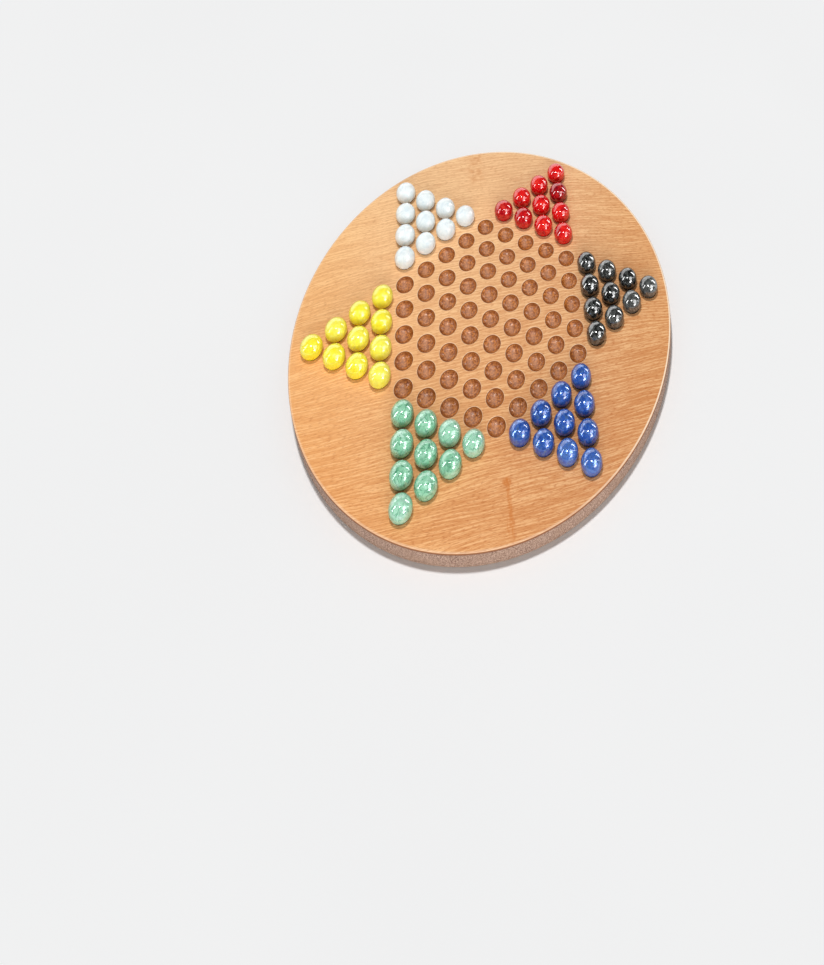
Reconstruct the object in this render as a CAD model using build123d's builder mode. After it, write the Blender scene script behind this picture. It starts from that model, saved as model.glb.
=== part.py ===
from build123d import *
import os
from math import cos, radians, sqrt

# Chinese checkers board: a round veneered board with 121 marble seats, and its 60 glass marbles.
# Millimetres. The origin is the centre of the underside, +Z is up, and +X points at one star tip.

# Board
board_diameter = 295.0
board_thickness = 15.0
veneer_thickness = 0.6
edge_chamfer = 0.4          # eased upper and lower edge of the board
seam_lean = 3.0             # degrees between the seam of the face veneer and the Y axis

# Seats: ball-shaped pits on a triangular grid
seat_pitch = 19.0
seat_ball_radius = 8.25     # radius of the round-nosed cutter that makes a seat
seat_mouth_radius = 6.8
seat_ease = 0.35            # depth of the small bevel round each mouth
seat_ease_width = 0.3       # how far that bevel reaches outside the mouth
cutter_overshoot = 1.0      # how far the seat cutter reaches above the face
field_half_width = 4        # columns of the middle hexagon to each side of its centre column

# Marbles
marble_diameter = 15.9
marble_lift_gap = 0.05      # air between a resting marble and the bottom of its seat
camp_rows = 4               # rows of marbles in a camp: 1, 2, 3 and 4 marbles
pair_size = 2               # marbles of a camp that share one node
camp_colours = ["black", "red", "white", "yellow", "green", "blue"]  # anticlockwise from +X

# Worked out
board_radius = board_diameter / 2
marble_radius = marble_diameter / 2
column_spacing = seat_pitch * cos(radians(30))
mouth_drop = sqrt(seat_ball_radius**2 - seat_mouth_radius**2)
seat_depth = seat_ball_radius - mouth_drop
seat_floor = board_thickness - seat_depth
ease_radius = sqrt(seat_ball_radius**2 - (mouth_drop + seat_ease) ** 2)
marble_height = seat_floor + marble_lift_gap + marble_radius
camp_turn = 360 / len(camp_colours)


def column(index, count):
    """Places of one column of seats, centred on the X axis, one pitch apart."""
    first = -(count - 1) / 2
    return [(index * column_spacing, (first + step) * seat_pitch) for step in range(count)]


def field_places():
    """The 61 seats of the middle hexagon."""
    places = []
    for index in range(-field_half_width, field_half_width + 1):
        places += column(index, 2 * field_half_width + 1 - abs(index))
    return places


def camp_places():
    """The 10 seats of the camp that points along +X, from its tip inwards."""
    places = []
    for row in range(1, camp_rows + 1):
        places += column(2 * field_half_width + 1 - row, row)
    return places


# The shape of one seat, with its lowest point at the seat floor: a ball-nosed bowl and an eased mouth.
with BuildPart() as seat_cutter:
    with BuildSketch(Plane.XZ):
        with BuildLine():
            floor_point = (0, seat_floor)
            bowl_edge = (ease_radius, board_thickness - seat_ease)
            mouth_edge = (seat_mouth_radius + seat_ease_width, board_thickness)
            above = board_thickness + cutter_overshoot
            RadiusArc(floor_point, bowl_edge, -seat_ball_radius)
            Polyline(bowl_edge, mouth_edge, (mouth_edge[0], above), (0, above), floor_point)
        make_face()
    revolve(axis=Axis.Z)


def cut_seats():
    """Cuts all 121 seats out of the board layer that is being built."""
    with Locations(*field_places()):
        add(seat_cutter.part, mode=Mode.SUBTRACT)
    with PolarLocations(0, len(camp_colours)):
        with Locations(*camp_places()):
            add(seat_cutter.part, mode=Mode.SUBTRACT)


def finish_piece(piece, name):
    """Labels a finished piece and writes its STEP file."""
    piece.part.label = name
    export_step(piece.part, f"parts/{name}.step")


os.makedirs("parts", exist_ok=True)

# Fibreboard core: the seats are milled through the face veneer into it.
with BuildPart() as board_core:
    with BuildSketch(Plane.XY.offset(veneer_thickness)):
        Circle(board_radius)
    extrude(amount=board_thickness - 2 * veneer_thickness)
    cut_seats()
finish_piece(board_core, "board_core")

# Underside veneer: balances the face veneer so that the board stays flat.
with BuildPart() as underside_veneer:
    with BuildSketch(Plane.XY):
        Circle(board_radius)
    extrude(amount=veneer_thickness)
    chamfer(underside_veneer.edges().group_by(Axis.Z)[0], edge_chamfer)
finish_piece(underside_veneer, "underside_veneer")

# Face veneer: two leaves that meet at a seam through the middle of the board.
seam_plane = Plane.YZ.rotated((0, 0, seam_lean))
for name, side in [("face_veneer_right", Keep.TOP), ("face_veneer_left", Keep.BOTTOM)]:
    with BuildPart() as face_veneer:
        with BuildSketch(Plane.XY.offset(board_thickness - veneer_thickness)):
            Circle(board_radius)
        extrude(amount=veneer_thickness)
        chamfer(face_veneer.edges().group_by(Axis.Z)[-1], edge_chamfer)
        cut_seats()
        split(bisect_by=seam_plane, keep=side)
    finish_piece(face_veneer, name)


def make_marbles(name, places):
    """One node of marbles resting in the seats at the given places."""
    with BuildPart() as marbles:
        with Locations(*[(x, y, marble_height) for x, y in places]):
            Sphere(marble_radius)
    finish_piece(marbles, name)


# Marbles: in each camp eight single marbles from the tip inwards. The last two seats of the row
# beside the field hold a pair that shares one node.
for turn, colour in enumerate(camp_colours):
    seats = []
    for x, y in camp_places():
        place = Vector(x, y).rotate(Axis.Z, turn * camp_turn)
        seats.append((place.X, place.Y))
    for number, seat in enumerate(seats[:-pair_size], start=1):
        make_marbles(f"{colour}_marble_{number}", [seat])
    make_marbles(f"{colour}_marble_pair", seats[-pair_size:])
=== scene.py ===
import math
import random

import bpy
from mathutils import Matrix, Vector


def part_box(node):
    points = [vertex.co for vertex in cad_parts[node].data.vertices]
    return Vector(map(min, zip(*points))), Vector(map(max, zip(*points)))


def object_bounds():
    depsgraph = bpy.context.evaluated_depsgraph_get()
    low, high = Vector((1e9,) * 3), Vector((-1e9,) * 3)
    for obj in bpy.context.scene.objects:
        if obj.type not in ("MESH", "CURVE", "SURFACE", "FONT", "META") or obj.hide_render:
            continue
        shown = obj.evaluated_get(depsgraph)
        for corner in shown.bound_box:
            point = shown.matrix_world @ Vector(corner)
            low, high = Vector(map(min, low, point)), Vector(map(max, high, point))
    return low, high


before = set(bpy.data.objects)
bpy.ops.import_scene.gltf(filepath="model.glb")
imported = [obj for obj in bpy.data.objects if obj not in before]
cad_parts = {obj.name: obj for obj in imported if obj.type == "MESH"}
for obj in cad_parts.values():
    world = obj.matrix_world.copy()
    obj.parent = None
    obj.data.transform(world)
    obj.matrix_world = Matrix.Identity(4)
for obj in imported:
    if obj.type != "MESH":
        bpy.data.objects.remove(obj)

MM = 0.001

# Places and sizes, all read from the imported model
cad_box = [list(corner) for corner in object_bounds()]
core_low, core_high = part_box("board_core")
face_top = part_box("face_veneer_left")[1].z
board_radius = (core_high.x - core_low.x) / 2
marble_low, marble_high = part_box("black_marble_1")
marble_radius = (marble_high.z - marble_low.z) / 2
face_centre = Vector((0, 0, face_top))

# The same in millimetres, for the patterns of the materials
radius_mm = board_radius / MM
face_mm = face_top / MM
glue_mm = core_high.z / MM

# The seats' grid in millimetres: columns along Y, every second one shifted by half a pitch
SEAT_PITCH = 19.0
COLUMN_STEP = SEAT_PITCH * math.sqrt(3) / 2

# The veneer seam runs through the board's centre and leans a little off the Y axis.
SEAM_LEAN = math.radians(3.0)


class Graph:
    """Short calls that build a node tree. A value may be a number, a tuple or another node's socket."""

    def __init__(self, tree):
        tree.nodes.clear()
        self.tree = tree

    def feed(self, socket, value):
        if isinstance(value, bpy.types.NodeSocket):
            self.tree.links.new(value, socket)
        else:
            socket.default_value = value

    def node(self, kind, inputs=None, **settings):
        made = self.tree.nodes.new(kind)
        for name, value in settings.items():
            setattr(made, name, value)
        for key, value in (inputs or {}).items():
            self.feed(made.inputs[key], value)
        return made

    def math(self, operation, *values):
        return self.node("ShaderNodeMath", dict(enumerate(values)), operation=operation).outputs[0]

    def add(self, a, b):
        return self.math("ADD", a, b)

    def minus(self, a, b):
        return self.math("SUBTRACT", a, b)

    def times(self, a, b):
        return self.math("MULTIPLY", a, b)

    def larger(self, a, b):
        return self.math("MAXIMUM", a, b)

    def unsigned(self, value):
        return self.math("ABSOLUTE", value)

    def squares(self, a, b):
        """The two squares, added up."""
        return self.add(self.times(a, a), self.times(b, b))

    def reach(self, a, b):
        """Distance from the axis of a point that is a and b away from it."""
        return self.math("SQRT", self.squares(a, b))

    def vector(self, x, y, z):
        return self.node("ShaderNodeCombineXYZ", {0: x, 1: y, 2: z}).outputs[0]

    def split(self, vector):
        return self.node("ShaderNodeSeparateXYZ", {0: vector}).outputs

    def place_mm(self):
        """The point's place in the object's own frame, in millimetres."""
        coords = self.node("ShaderNodeTexCoord").outputs["Object"]
        return self.node("ShaderNodeVectorMath", {0: coords, "Scale": 1 / MM}, operation="SCALE").outputs[0]

    def noise(self, vector, scale=1.0, detail=2.0, roughness=0.5, distortion=0.0):
        inputs = {
            "Vector": vector,
            "Scale": scale,
            "Detail": detail,
            "Roughness": roughness,
            "Distortion": distortion,
        }
        return self.node("ShaderNodeTexNoise", inputs).outputs["Fac"]

    def streaked_noise(self, a, b, a_scale, b_scale, layer, **settings):
        """Noise with a scale for each of two directions. Every layer number gives another noise."""
        return self.noise(self.vector(self.times(a, a_scale), self.times(b, b_scale), layer), **settings)

    def rise(self, value, low, high, at_low=0.0, at_high=1.0):
        """Goes smoothly from at_low to at_high as value goes from low to high."""
        inputs = {"Value": value, "From Min": low, "From Max": high, "To Min": at_low, "To Max": at_high}
        return self.node("ShaderNodeMapRange", inputs, interpolation_type="SMOOTHSTEP").outputs[0]

    def mix(self, share, a, b, blend="MIX"):
        made = self.node("ShaderNodeMix", data_type="RGBA", blend_type=blend)
        for index, value in ((0, share), (6, a), (7, b)):
            self.feed(made.inputs[index], value)
        return made.outputs[2]

    def bump(self, height, strength, distance):
        inputs = {"Height": height, "Strength": strength, "Distance": distance}
        return self.node("ShaderNodeBump", inputs).outputs["Normal"]

    def surface(self, inputs):
        shader = self.node("ShaderNodeBsdfPrincipled", inputs)
        self.node("ShaderNodeOutputMaterial", {"Surface": shader.outputs[0]})


def new_material(name):
    material = bpy.data.materials.new(name)
    material.use_nodes = True
    return material, Graph(material.node_tree)


def srgb(red, green, blue):
    """A colour given as screen values from 0 to 255, as linear light."""
    linear = []
    for value in (red, green, blue):
        share = value / 255
        linear.append(share / 12.92 if share <= 0.04045 else ((share + 0.055) / 1.055) ** 2.4)
    return (*linear, 1.0)


# Beech veneer

# What makes up the tone of the wood, as noise: scale along and across the grain, detail, roughness, share
TONE_LAYERS = [
    (0.006, 0.1, 2.0, 0.5, 0.16),    # broad bands
    (0.03, 0.9, 3.0, 0.6, 0.42),     # streaks
    (0.09, 2.3, 2.0, 0.5, 0.42),     # fibres
]
RING_LINES = {"per_mm": 2.7, "sway": 12.0, "share": 0.035}


def grain_coordinates(g):
    """Millimetres along and across the beech grain, which runs close to the X axis in a shallow arch."""
    bend_at_centre = 0.00035
    bend_per_mm = 0.0000046
    tilt = -0.02
    most_drift = 9.0
    x, y, z = g.split(g.place_mm())
    bend = g.add(bend_at_centre, g.times(y, bend_per_mm))
    across = g.add(y, g.times(bend, g.times(x, x)))
    across = g.add(across, g.times(x, tilt))
    drift = g.streaked_noise(x, y, 0.012, 0.03, 7.0, detail=1.0)
    across = g.add(across, g.times(drift, most_drift))
    return x, across, z


def beech_figure(g, along, across):
    """Beech as a share from 0, dark, to 1, pale, and the short dark ray flecks on it."""
    sway = g.streaked_noise(along, across, 0.02, 0.2, 5.0)
    turn = g.add(g.times(across, RING_LINES["per_mm"]), g.times(sway, RING_LINES["sway"]))
    tone = g.times(g.math("SINE", turn), RING_LINES["share"])
    for number, (a_scale, b_scale, detail, roughness, share) in enumerate(TONE_LAYERS, start=1):
        layer = g.streaked_noise(along, across, a_scale, b_scale, number, detail=detail, roughness=roughness)
        tone = g.add(tone, g.times(layer, share))
    flecks = g.streaked_noise(along, across, 0.3, 1.5, 4.0)
    return g.rise(tone, 0.39, 0.61), g.rise(flecks, 0.52, 0.66)


def beech_ground_with_painted_light(g, x, y):
    """The face without its grain: palest at the far left and deepest at the near right, as painted light and
    shade, and warmer at both sides.
    """
    near_left, near_right = srgb(238, 174, 113), srgb(209, 151, 102)
    far_left, far_right = srgb(252, 208, 156), srgb(238, 191, 143)
    warmth = (1.0, 0.92, 0.78, 1.0)
    warm_from = 0.4 * radius_mm
    rightwards = g.rise(x, -radius_mm, radius_mm)
    near = g.mix(rightwards, near_left, near_right)
    far = g.mix(rightwards, far_left, far_right)
    wood = g.mix(g.rise(y, -radius_mm, radius_mm), near, far)
    return g.mix(g.rise(g.unsigned(x), warm_from, radius_mm), wood, warmth, blend="MULTIPLY")


def painted_edge_highlight(g, x, y, z, from_centre):
    """How much painted highlight shows: a pale line inside the rim, strongest towards the light, and a
    painted highlight on the eased corner.
    """
    line_from, line_full = radius_mm - 1.5, radius_mm - 1.0
    eased_from, eased_full = face_mm - 0.01, face_mm - 0.06
    in_shade, in_light = 0.2, 0.75
    to_light = g.rise(g.add(x, g.times(y, 0.4)), -0.2 * radius_mm, 0.7 * radius_mm, in_shade, in_light)
    line = g.rise(from_centre, line_from, line_full, 0.0, to_light)
    eased = g.rise(z, eased_full, eased_from, 0.5, 0.0)
    return g.larger(line, eased)


def face_veneer_material():
    """Beech face: livelier towards the near right, with painted light and shade across it, a painted
    highlight round the rim, and browned where it is cut.
    """
    dark_grain, pale_grain = srgb(190, 112, 54), srgb(255, 212, 158)
    fleck_brown, seam_brown = srgb(176, 96, 44), srgb(198, 114, 46)
    painted_rim_highlight, seat_cut, rim_cut = srgb(255, 238, 212), srgb(142, 82, 36), srgb(184, 126, 84)
    browned_from, browned_full = face_mm - 0.16, face_mm - 0.22
    rim_cut_from, rim_cut_full = radius_mm - 3.0, radius_mm - 1.0
    material, g = new_material("beech_face_veneer")
    along, across, z = grain_coordinates(g)
    x, y, _ = g.split(g.place_mm())
    from_centre = g.reach(x, y)
    tone, flecks = beech_figure(g, along, across)
    lively = g.rise(g.minus(x, y), -radius_mm, radius_mm, 0.6, 1.0)
    # Painted light and shade: the ground goes from palest at the far left to deepest at the near right.
    wood = beech_ground_with_painted_light(g, x, y)
    wood = g.mix(g.times(lively, g.rise(tone, 0.0, 1.0, 0.5, 0.0)), wood, dark_grain)
    wood = g.mix(g.rise(tone, 0.5, 1.0, 0.0, 0.3), wood, pale_grain)
    wood = g.mix(g.times(lively, g.times(flecks, 0.5)), wood, fleck_brown)
    wood = g.mix(seam_marks(g, x, y), wood, seam_brown)
    # Painted highlight: a pale line round the rim, strongest towards the light, and on the eased corner.
    wood = g.mix(painted_edge_highlight(g, x, y, z, from_centre), wood, painted_rim_highlight)
    cut = g.rise(z, browned_full, browned_from, 1.0, 0.0)
    at_rim = g.rise(from_centre, rim_cut_from, rim_cut_full)
    wood = g.mix(cut, wood, g.mix(at_rim, seat_cut, rim_cut))
    g.surface({
        "Base Color": wood,
        "Roughness": g.rise(tone, 0.0, 1.0, 0.52, 0.44),
        "Coat Weight": g.times(g.minus(1.0, cut), 0.1),
        "Coat Roughness": 0.3,
        "Specular IOR Level": g.rise(cut, 0.0, 1.0, 0.5, 0.15),
        "Normal": g.bump(g.add(tone, g.times(flecks, -0.6)), 0.2, 0.00006),
    })
    return material


# Two lines along the seam beside the near rim, in millimetres. fade is how far from its middle a line begins
# and ends to fade, inner_end and outer_end are the ranges of Y in which its ends fade, and at_rim is what is
# left of it at the rim.
SEAM_LINES = [
    {
        "offset": 0.3, "fade": (0.3, 2.2), "darkness": 0.75,
        "inner_end": (-112.0, -108.0), "outer_end": (-146.0, -138.0), "at_rim": 0.3,
    },
    {
        "offset": 3.0, "fade": (0.2, 1.2), "darkness": 0.45,
        "inner_end": (-134.0, -130.0), "outer_end": (-144.0, -140.0), "at_rim": 0.0,
    },
]


def seam_line(g, beside, y, offset, fade, darkness, inner_end, outer_end, at_rim):
    line = g.rise(g.unsigned(g.add(beside, offset)), *fade, darkness, 0.0)
    return g.times(line, g.times(g.rise(y, *inner_end, 1.0, 0.0), g.rise(y, *outer_end, at_rim, 1.0)))


def seam_marks(g, x, y):
    """How dark the seam shows: an uneven line near the near rim, with a blot on its inner end and a faint
    second line beside its outer end, and a faint blotch near the far rim."""
    wobble_width = 4.0
    blot_at, blot_per_mm = (-0.8, -111.0), (0.3, 0.34)
    blotch_at, blotch_from, blotch_full = 1.0, 112.0, 124.0
    beside = g.add(g.times(x, math.cos(SEAM_LEAN)), g.times(y, math.sin(SEAM_LEAN)))
    wobble = g.streaked_noise(x, y, 0.3, 0.2, 11.0, detail=3.0)
    beside = g.add(beside, g.times(g.add(wobble, -0.5), wobble_width))
    wear = g.rise(g.streaked_noise(x, y, 1.0, 0.35, 13.0), 0.3, 0.6, 0.4, 1.0)
    first, second = [seam_line(g, beside, y, **line) for line in SEAM_LINES]
    blot_x = g.times(g.minus(beside, blot_at[0]), blot_per_mm[0])
    blot_y = g.times(g.minus(y, blot_at[1]), blot_per_mm[1])
    blot = g.rise(g.squares(blot_x, blot_y), 0.1, 1.4, 1.0, 0.0)
    near = g.times(g.larger(g.larger(first, second), blot), wear)
    blotch = g.rise(g.streaked_noise(x, y, 0.2, 0.25, 12.0, detail=3.0), 0.4, 0.65)
    from_blotch = g.unsigned(g.minus(beside, blotch_at))
    far = g.times(g.rise(y, blotch_from, blotch_full), g.rise(from_blotch, 3.0, 9.0, 0.35, 0.0))
    return g.larger(g.times(near, 0.85), g.times(far, blotch))


def underside_material():
    """Plain beech, greyer at the sawn rim."""
    dark_grain, pale_grain = srgb(196, 148, 104), srgb(226, 182, 136)
    fleck_brown, sawn = srgb(168, 118, 78), srgb(204, 174, 152)
    sawn_from, sawn_full = radius_mm - 0.6, radius_mm - 0.2
    material, g = new_material("beech_underside_veneer")
    along, across, _ = grain_coordinates(g)
    tone, flecks = beech_figure(g, along, across)
    wood = g.mix(tone, dark_grain, pale_grain)
    wood = g.mix(g.times(flecks, 0.4), wood, fleck_brown)
    x, y, _ = g.split(g.place_mm())
    wood = g.mix(g.rise(g.reach(x, y), sawn_from, sawn_full, 0.0, 0.8), wood, sawn)
    g.surface({"Base Color": wood, "Roughness": 0.6, "Normal": g.bump(tone, 0.3, 0.0001)})
    return material


# Fibreboard core


def place_in_seat(g, x, y):
    """Millimetres to the right and away from the axis of the nearest seat in the grid."""
    found = []
    for shift in (0, 1):
        right = g.math("WRAP", g.add(x, shift * COLUMN_STEP), COLUMN_STEP, -COLUMN_STEP)
        away = g.math("WRAP", g.add(y, shift * SEAT_PITCH / 2), SEAT_PITCH / 2, -SEAT_PITCH / 2)
        found.append((right, away, g.squares(right, away)))
    (right_1, away_1, squares_1), (right_2, away_2, squares_2) = found
    second = g.math("LESS_THAN", squares_2, squares_1)
    right = g.add(right_1, g.times(second, g.minus(right_2, right_1)))
    away = g.add(away_1, g.times(second, g.minus(away_2, away_1)))
    return right, away


def sawn_rim(g, place, z, specks):
    """The board's side: specks of two colours in soft clouds, darker at the glue line under the veneer."""
    dark_speck, pale_speck = srgb(118, 87, 73), srgb(205, 174, 155)
    cloud_tan, glue_brown = srgb(170, 136, 112), srgb(134, 84, 52)
    glue_from, glue_full = glue_mm - 1.2, glue_mm + 0.2
    clouds = g.noise(place, scale=0.09, detail=3.0)
    rim = g.mix(g.rise(specks, 0.38, 0.62), dark_speck, pale_speck)
    rim = g.mix(g.times(g.rise(clouds, 0.35, 0.7), 0.3), rim, cloud_tan)
    glue = g.rise(g.add(z, g.times(specks, 1.5)), glue_from, glue_full)
    return g.mix(g.times(glue, 0.9), rim, glue_brown)


def milled_seat(g, right, away, from_axis, mottle, rings):
    """A seat: mottled brown with cutter rings, a pale spot of painted sheen near its middle, and painted
    shade on its wall that is darkest on two opposite sides."""
    dark_brown, pale_brown = srgb(132, 67, 17), srgb(204, 127, 58)
    ring_brown, painted_sheen, wall_shade_brown = srgb(104, 52, 18), srgb(208, 160, 134), srgb(122, 58, 12)
    sheen_at, sheen_reach, sheen_squeeze = (-1.0, 0.8), 4.0, math.sqrt(0.6)
    wall_shade_from, wall_shade_full = 3.0, 6.0
    seat = g.mix(g.rise(mottle, 0.36, 0.64), dark_brown, pale_brown)
    seat = g.mix(g.times(g.rise(rings, 0.0, 1.0), 0.25), seat, ring_brown)
    from_sheen = g.reach(g.minus(right, sheen_at[0]), g.times(g.minus(away, sheen_at[1]), sheen_squeeze))
    # Painted sheen: a pale spot a little left of the seat's axis and beyond it.
    seat = g.mix(g.rise(from_sheen, 0.0, sheen_reach, 0.5, 0.0), seat, painted_sheen)
    slant = g.math("DIVIDE", g.times(right, away), g.add(g.times(from_axis, from_axis), 4.0))
    # Painted shade on the seat's wall, strongest on its far right and near left.
    wall_shade = g.rise(from_axis, wall_shade_from, wall_shade_full, 0.0, g.rise(slant, -0.4, 0.4, 0.05, 0.6))
    return g.mix(wall_shade, seat, wall_shade_brown)


def core_material():
    """Fibreboard: grey-tan and speckled on the sawn rim, brown and glossy with cutter rings in the seats."""
    rings_per_mm, ring_wobble = 5.0, 9.0
    rim_from, rim_full = radius_mm - 1.0, radius_mm - 0.5
    lacquer_full, lacquer_end = 4.2, 5.6
    material, g = new_material("fibreboard")
    place = g.place_mm()
    x, y, z = g.split(place)
    on_rim = g.rise(g.reach(x, y), rim_from, rim_full)
    specks = g.noise(place, scale=1.3, detail=3.0, roughness=0.75)
    mottle = g.noise(place, scale=0.75, detail=3.0, roughness=0.6)
    right, away = place_in_seat(g, x, y)
    from_axis = g.reach(right, away)
    rings = g.math("SINE", g.add(g.times(from_axis, rings_per_mm), g.times(mottle, ring_wobble)))
    seat = milled_seat(g, right, away, from_axis, mottle, rings)
    seat_relief = g.add(g.times(rings, 0.3), g.times(mottle, 2.0))
    lacquer = g.rise(from_axis, lacquer_full, lacquer_end, 0.8, 0.1)
    g.surface({
        "Base Color": g.mix(on_rim, seat, sawn_rim(g, place, z, specks)),
        "Roughness": g.rise(on_rim, 0.0, 1.0, 0.5, 0.8),
        "Specular IOR Level": 0.15,
        "Coat Weight": g.times(g.minus(1.0, on_rim), lacquer),
        "Coat Roughness": 0.3,
        "Normal": g.bump(g.mix(on_rim, seat_relief, g.times(specks, 2.0)), 0.3, 0.0001),
    })
    return material


# Marbles

# veins is how dark the veins are, lustre the share of metallic pearl in the glass, gloss the clear skin's
# IOR, dim how much painted shade darkens the lower half, milk the share of light that goes in, and spread how
# far it goes, in marble radii.
GLASS = {
    "black": {
        "main": srgb(14, 15, 16), "pale": srgb(142, 146, 144), "deep": srgb(3, 4, 5),
        "veins": 0.3, "lustre": 0.65, "gloss": 2.0, "dim": 0.6, "milk": 0.0, "spread": 0.0,
    },
    "red": {
        "main": srgb(224, 18, 22), "pale": srgb(244, 66, 50), "deep": srgb(112, 2, 22),
        "veins": 0.25, "lustre": 0.0, "gloss": 1.7, "dim": 0.15, "milk": 0.3, "spread": 0.5,
    },
    "white": {
        "main": srgb(232, 244, 246), "pale": srgb(250, 253, 254), "deep": srgb(204, 222, 232),
        "veins": 0.5, "lustre": 0.0, "gloss": 1.5, "dim": 0.0, "milk": 1.0, "spread": 1.5,
    },
    "yellow": {
        "main": srgb(250, 236, 64), "pale": srgb(250, 243, 120), "deep": srgb(244, 214, 16),
        "veins": 0.3, "lustre": 0.0, "gloss": 1.7, "dim": 0.0, "milk": 0.6, "spread": 0.5,
    },
    "green": {
        "main": srgb(146, 207, 172), "pale": srgb(204, 240, 224), "deep": srgb(36, 124, 88),
        "veins": 0.75, "lustre": 0.2, "gloss": 1.8, "dim": 0.0, "milk": 0.5, "spread": 0.4,
    },
    "blue": {
        "main": srgb(36, 80, 166), "pale": srgb(124, 168, 238), "deep": srgb(10, 26, 92),
        "veins": 0.4, "lustre": 0.6, "gloss": 1.7, "dim": 0.4, "milk": 0.0, "spread": 0.0,
    },
}
# Marbles that stand out from their camp, by how far they go from the main colour to the deep one (-) or the
# pale one (+)
ODD_ONES = {
    "red_marble_2": -0.85, "red_marble_pair": -0.45, "red_marble_6": 0.1,
    "black_marble_1": 0.28, "black_marble_2": 0.32, "black_marble_4": 0.15, "black_marble_6": 0.15,
    "yellow_marble_2": 0.6, "yellow_marble_5": 0.5, "yellow_marble_pair": 0.6, "yellow_marble_7": 0.2,
    "green_marble_1": 0.3, "green_marble_pair": 0.4,
    "blue_marble_1": 0.2, "blue_marble_2": 0.3,
}
SWIRL_SEED = 60
SWIRL_SHIFT = 50    # the farthest that a marble's swirl is shifted, in marble radii


def swirled_glass(g, look, shade, place, mottle):
    """Clouds of the pale and the deep colour in the main one, crossed by deep veins."""
    clouds = g.noise(place, scale=0.9, detail=3.0, distortion=1.4)
    swirl = g.noise(place, scale=0.7, detail=2.0, distortion=3.0)
    from_vein = g.unsigned(g.add(swirl, -0.5))
    most_pale = 0.8 * (1 - look["lustre"])
    colour = g.mix(g.rise(clouds, 0.5, 0.72, 0.0, most_pale), look["main"], look["pale"])
    colour = g.mix(g.rise(clouds, 0.3, 0.46, 0.5, 0.0), colour, look["deep"])
    colour = g.mix(g.rise(from_vein, 0.0, 0.035, look["veins"], 0.0), colour, look["deep"])
    if shade:
        other = look["pale"] if shade > 0 else look["deep"]
        colour = g.mix(g.rise(mottle, 0.4, 0.6, 0.4 * abs(shade), abs(shade)), colour, other)
    return colour


def marble_material(node_name, colour_name, chance):
    """Swirled opaque glass under a clear, hard gloss. chance turns and shifts the swirl for each marble."""
    look = GLASS[colour_name]
    shade = ODD_ONES.get(node_name, 0.0)
    material, g = new_material(node_name + "_glass")
    turn = tuple(chance.uniform(0, 2 * math.pi) for _ in range(3))
    shift = tuple(chance.uniform(-SWIRL_SHIFT, SWIRL_SHIFT) for _ in range(3))
    size = MM / marble_radius
    mapping = {"Vector": g.place_mm(), "Location": shift, "Rotation": turn, "Scale": (size, size, size)}
    place = g.node("ShaderNodeMapping", mapping).outputs[0]
    mottle = g.noise(place, scale=3.5, detail=3.0, roughness=0.65)
    colour = swirled_glass(g, look, shade, place, mottle)

    # Painted shade: lit goes from 0 low on the marble to 1 above its middle. Below, the colour is darkened
    # towards the deep one, and the pearl and the clear skin fade, as if the lower half were in shade.
    _, _, z = g.split(g.place_mm())
    dark_below = (marble_low.z + 0.45 * marble_radius) / MM
    lit_above = (marble_low.z + 1.4 * marble_radius) / MM
    lit = g.rise(z, dark_below, lit_above)
    colour = g.mix(g.rise(lit, 0.0, 1.0, look["dim"], 0.0), colour, look["deep"])
    pearl = g.times(lit, g.rise(mottle, 0.5, 0.6, 0.0, look["lustre"]))
    g.surface({
        "Base Color": g.mix(g.times(pearl, 0.9), colour, look["pale"]),
        "Metallic": pearl,
        "Roughness": g.rise(mottle, 0.4, 0.6, 0.4, 0.2),
        "Specular IOR Level": 0.1,
        "Subsurface Weight": look["milk"],
        "Subsurface Radius": (1.0, 1.0, 1.0),
        "Subsurface Scale": look["spread"] * marble_radius,
        "Coat Weight": g.rise(lit, 0.25, 1.0, 0.06, 1.0),
        "Coat Roughness": 0.03,
        "Coat IOR": look["gloss"],
        "Normal": g.bump(mottle, 0.5 * look["lustre"], 0.001),
    })
    return material


def use_material(node_name, material):
    """Puts one material on every slot of a CAD node."""
    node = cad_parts[node_name]
    if not node.material_slots:
        node.data.materials.append(None)
    for slot in node.material_slots:
        slot.material = material


def finish_board():
    face = face_veneer_material()
    use_material("face_veneer_left", face)
    use_material("face_veneer_right", face)
    use_material("board_core", core_material())
    use_material("underside_veneer", underside_material())


def finish_marbles():
    chance = random.Random(SWIRL_SEED)
    for colour in GLASS:
        for name in sorted(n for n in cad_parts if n.startswith(colour + "_marble")):
            use_material(name, marble_material(name, colour, chance))


# Studio. Directions are azimuth and elevation in degrees, distances and sizes are metres, and a brightness of
# 1 is that of white paper in full light.

KEY_FROM, KEY_SPREAD, KEY_BRIGHTNESS = (-175, 77), 5.0, 0.6
FILL_FROM, FILL_DISTANCE, FILL_SIZE, FILL_BRIGHTNESS = (4, 25), 1.6, (1.6, 0.9), 3.7
PANEL_FROM, PANEL_SHIFT, PANEL_SIZE, PANEL_BRIGHTNESS = (-150, 0), (0.3, 0, 0.41), (3.0, 1.12), 2.0
CARD_DISTANCE = 1.2
OVAL_CARDS = [    # name, direction of the middle, distance, size, brightness
    ("umbrella", (33, 16), CARD_DISTANCE, (0.55, 0.34), 12.0),
    ("umbrella_glow", (51, 38), 1.25, (0.8, 0.7), 5.0),
    ("spot", (2, 67), CARD_DISTANCE, (0.36, 0.14), 36.0),
]
STRIP_CARDS = [    # name, directions of both ends, width, brightness
    ("right_strip", (123, 32), (103, -7), 0.18, 12.0),
    ("right_edge", (74, 24), (88, -8), 0.1, 4.0),
    ("left_strip", (-80, 52), (-73, 2), 0.13, 13.0),
]
SURROUND, SURROUND_IN_GLASS, SURROUND_LIGHT = srgb(246, 247, 248), srgb(84, 82, 78), 0.34
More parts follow.
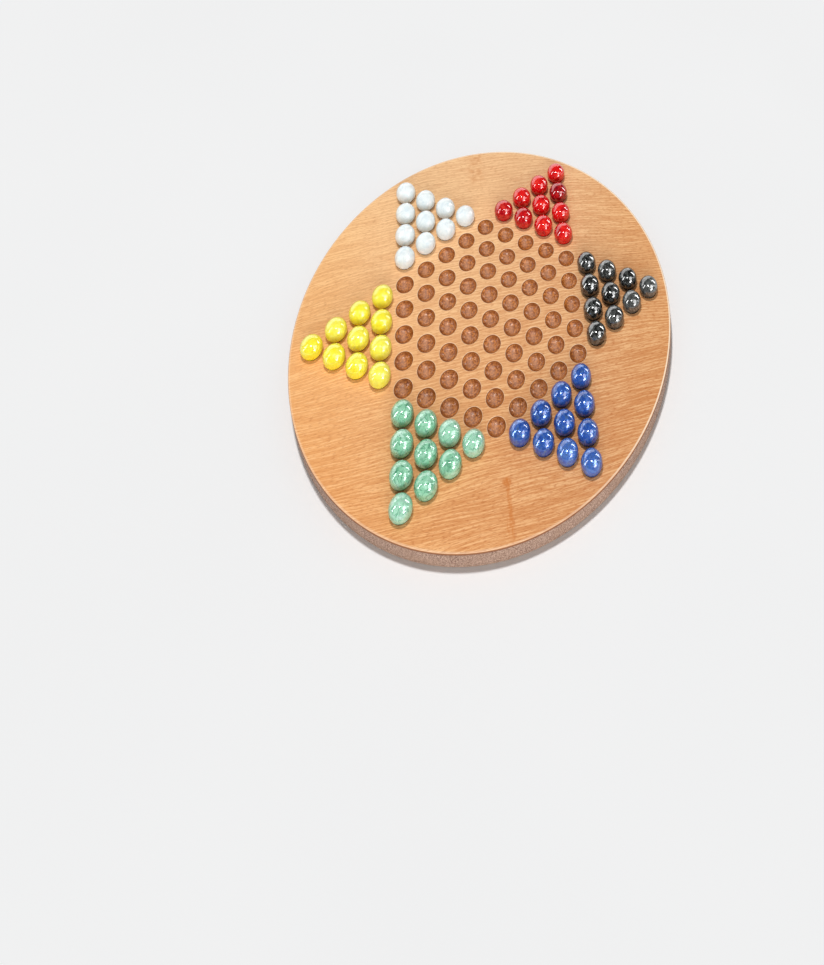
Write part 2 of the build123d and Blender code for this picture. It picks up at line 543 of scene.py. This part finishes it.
FLOOR_REACH = 20.0
UP = Vector((0, 0, 1))


def direction(azimuth, elevation):
    """Unit vector from the object towards a place given in degrees. Azimuth 0 is -Y and 90 is +X."""
    turn, lift = math.radians(azimuth), math.radians(elevation)
    flat = math.cos(lift)
    return Vector((math.sin(turn) * flat, -math.cos(turn) * flat, math.sin(lift)))


def place_light(name, lamp, place, turn, only_on):
    light = bpy.data.objects.new(name, lamp)
    light.matrix_world = Matrix.Translation(face_centre + place) @ turn.to_4x4()
    light.visible_camera = False
    light.light_linking.receiver_collection = only_on
    bpy.context.scene.collection.objects.link(light)
    return light


def facing(away, long_side=UP):
    """The turn that sends a light's beam against away, with its long side along long_side."""
    side = long_side.cross(away).normalized()
    return Matrix((side, away.cross(side), away)).transposed()


def key_light(name, towards, spread, brightness):
    """An even light from one direction over the whole floor. Mirror images don't show it."""
    lamp = bpy.data.lights.new(name, "SUN")
    lamp.angle = math.radians(spread)
    lamp.energy = brightness * math.pi
    place_light(name, lamp, towards, facing(towards), None).visible_glossy = False


def soft_light(name, place, size, brightness, only_on, along=UP, away=None, oval=False, as_card=True):
    """A flat soft light that faces the board, or away from a given direction. As a card it shows in mirror
    images and lights nothing; otherwise it does the reverse."""
    lamp = bpy.data.lights.new(name, "AREA")
    lamp.shape = "ELLIPSE" if oval else "RECTANGLE"
    lamp.size, lamp.size_y = size
    area = size[0] * size[1] * (math.pi / 4 if oval else 1)
    lamp.energy = brightness * math.pi * area
    light = place_light(name, lamp, place, facing(away or place.normalized(), along), only_on)
    light.visible_diffuse = not as_card
    light.visible_glossy = as_card


def strip(name, start, end, width, brightness, only_on):
    """A bright card from one direction to another."""
    first, last = direction(*start) * CARD_DISTANCE, direction(*end) * CARD_DISTANCE
    long_side = last - first
    soft_light(name, (first + last) / 2, (width, long_side.length), brightness, only_on, along=long_side)


def group(name, nodes):
    made = bpy.data.collections.new(name)
    for node in nodes:
        made.objects.link(node)
    return made


def light_the_set():
    """The fill leaves the floor out, so that the board's contact shadow stays dark. The cards show in the
    glass and in the seats' lacquer only."""
    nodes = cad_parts
    board_and_marbles = group("board_and_marbles", nodes.values())
    glossy = group("glossy_pieces", [nodes[name] for name in nodes if "veneer" not in name])
    key_light("key", direction(*KEY_FROM), KEY_SPREAD, KEY_BRIGHTNESS)
    fill_place = direction(*FILL_FROM) * FILL_DISTANCE
    soft_light("fill", fill_place, FILL_SIZE, FILL_BRIGHTNESS, board_and_marbles, as_card=False)
    panel_from = direction(*PANEL_FROM)
    panel_place = panel_from * CARD_DISTANCE + Vector(PANEL_SHIFT)
    soft_light("back_panel", panel_place, PANEL_SIZE, PANEL_BRIGHTNESS, glossy, away=panel_from)
    for name, towards, distance, size, brightness in OVAL_CARDS:
        soft_light(name, direction(*towards) * distance, size, brightness, glossy, oval=True)
    for name, start, end, width, brightness in STRIP_CARDS:
        strip(name, start, end, width, brightness, glossy)


def wrap_in_light():
    """An even pale surround. Mirror-like reflections see it darker, as walls beyond a lit set are."""
    world = bpy.data.worlds.new("studio")
    world.use_nodes = True
    g = Graph(world.node_tree)
    rays = g.node("ShaderNodeLightPath").outputs
    seen = g.mix(rays["Is Glossy Ray"], SURROUND, SURROUND_IN_GLASS)
    strength = g.rise(rays["Is Camera Ray"], 0.0, 1.0, SURROUND_LIGHT, 1.0)
    background = g.node("ShaderNodeBackground", {"Color": seen, "Strength": strength})
    g.node("ShaderNodeOutputWorld", {"Surface": background.outputs[0]})
    bpy.context.scene.world = world


def paper_material():
    """Matt white paper with a very faint, wide shade in it."""
    shaded, bright = srgb(250, 250, 250), srgb(254, 254, 254)
    material, g = new_material("floor_paper")
    paper = g.mix(g.noise(g.place_mm(), scale=0.004, detail=2.0), shaded, bright)
    g.surface({"Base Color": paper, "Roughness": 1.0, "Specular IOR Level": 0.0})
    return material


def lay_floor():
    """A wide pale floor under the board."""
    mesh = bpy.data.meshes.new("floor")
    corners = [(x * FLOOR_REACH, y * FLOOR_REACH, 0) for x, y in ((-1, -1), (1, -1), (1, 1), (-1, 1))]
    mesh.from_pydata(corners, [], [(0, 1, 2, 3)])
    floor = bpy.data.objects.new("floor", mesh)
    floor.location.z = cad_box[0][2]
    mesh.materials.append(paper_material())
    bpy.context.scene.collection.objects.link(floor)


# Camera

VIEW_FROM, VIEW_DISTANCE = (3.987, 57.247), 1.1518    # from the face's centre
VIEW_AIM = (-0.400, -0.667)                           # on the face, in board radii
PICTURE_FACES = (-22.9, 16.78)                        # the way that the picture plane faces
PICTURE_RIGHT, PICTURE_UP = 14.22, 91.21              # the picture's two directions in that plane, in degrees
LENS = 55.74
CLIP_NEAR, CLIP_FAR = 0.01, 100


def plane_direction(azimuth, elevation, turn):
    """The level direction of the plane that faces the given way, turned by an angle in that plane."""
    outwards = direction(azimuth, elevation)
    level = UP.cross(outwards).normalized()
    return Matrix.Rotation(math.radians(turn), 3, outwards) @ level


def set_camera():
    """The board is pictured on the front of a slanting panel, so its picture plane stands steeper than the
    view's own direction and is a little out of square. The camera hangs from a rig that leans it so."""
    eye = face_centre + direction(*VIEW_FROM) * VIEW_DISTANCE
    aim = face_centre + Vector((*VIEW_AIM, 0)) * board_radius
    right = plane_direction(*PICTURE_FACES, PICTURE_RIGHT)
    up = plane_direction(*PICTURE_FACES, PICTURE_UP)
    back = (eye - aim).normalized()
    lean = Matrix.Identity(4)
    for column, axis in enumerate((right, up, back, eye)):
        for row in range(3):
            lean[row][column] = axis[row]
    camera = bpy.data.objects.new("camera", bpy.data.cameras.new("camera"))
    camera.data.lens = LENS
    camera.data.clip_start, camera.data.clip_end = CLIP_NEAR, CLIP_FAR
    rig = bpy.data.objects.new("camera_rig", None)
    camera.parent = rig
    camera.matrix_parent_inverse = lean
    scene = bpy.context.scene
    scene.collection.objects.link(rig)
    scene.collection.objects.link(camera)
    scene.camera = camera
    scene.view_settings.view_transform = "Standard"


finish_board()
finish_marbles()
wrap_in_light()
light_the_set()
lay_floor()
set_camera()

bpy.context.view_layer.update()
